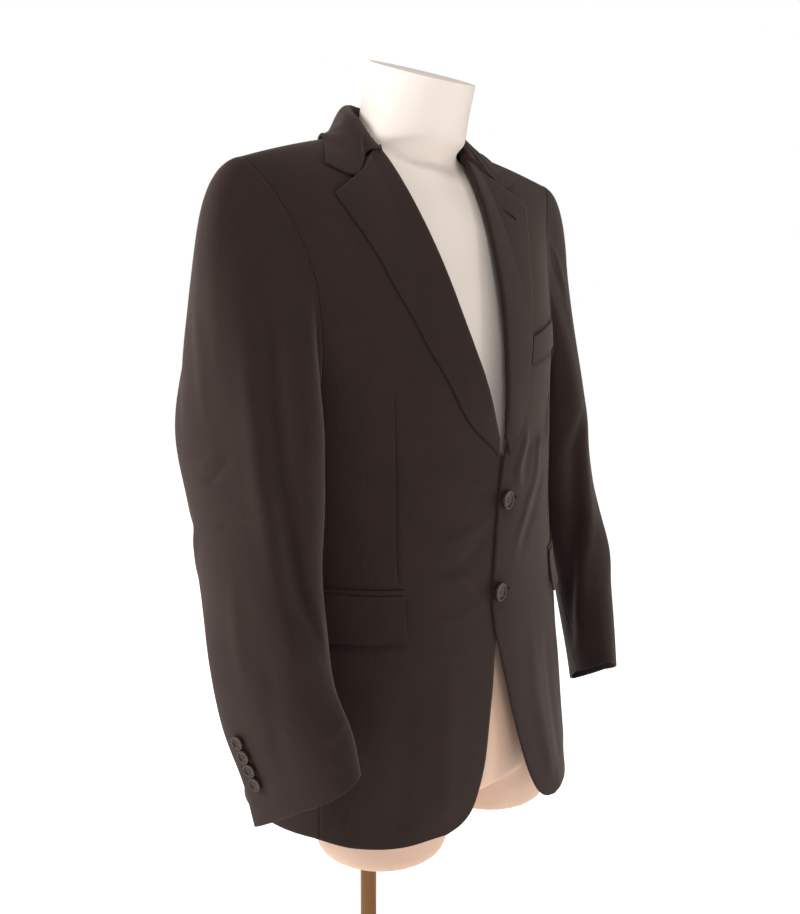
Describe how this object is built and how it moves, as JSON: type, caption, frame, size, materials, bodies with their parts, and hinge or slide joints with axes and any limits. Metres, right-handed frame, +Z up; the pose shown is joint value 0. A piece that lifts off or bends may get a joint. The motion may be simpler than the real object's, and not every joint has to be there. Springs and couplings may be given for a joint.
{
  "type": "single breasted blazer on a dress form with a stand",
  "caption": "Fastened single breasted blazer with notch lapels, flap pockets and button cuffs, worn by a limbless torso form on a pole stand.",
  "frame": {"origin": "centre of the underside of the round base plate, on the floor", "axes": "+Z up, the front of the blazer faces -Y, +X is the wearer's left"},
  "size_m": [0.571, 0.34, 1.1772],
  "materials": {
    "wool": "matte worsted twill, near black with a warm brown cast",
    "button": "polished dark resin",
    "form": "smooth matte off-white",
    "stand": "satin bronze"
  },
  "bodies": {
    "root": {"front_left": "wool", "front_right": "wool", "side_left": "wool", "side_right": "wool", "back_left": "wool", "back_right": "wool", "top_sleeve_left": "wool", "top_sleeve_right": "wool", "under_sleeve_left": "wool", "under_sleeve_right": "wool", "collar": "wool", "lapel_left": "wool", "lapel_right": "wool", "flap_left": "wool", "flap_right": "wool", "jet_left": "wool", "jet_right": "wool", "welt_chest": "wool", "button_front_upper": "button", "button_front_lower": "button", "button_cuff_left_1": "button", "button_cuff_left_2": "button", "button_cuff_left_3": "button", "button_cuff_left_4": "button", "button_cuff_right_1": "button", "button_cuff_right_2": "button", "button_cuff_right_3": "button", "button_cuff_right_4": "button", "form_torso": "form", "stand": "stand"}
  },
  "joints": []
}
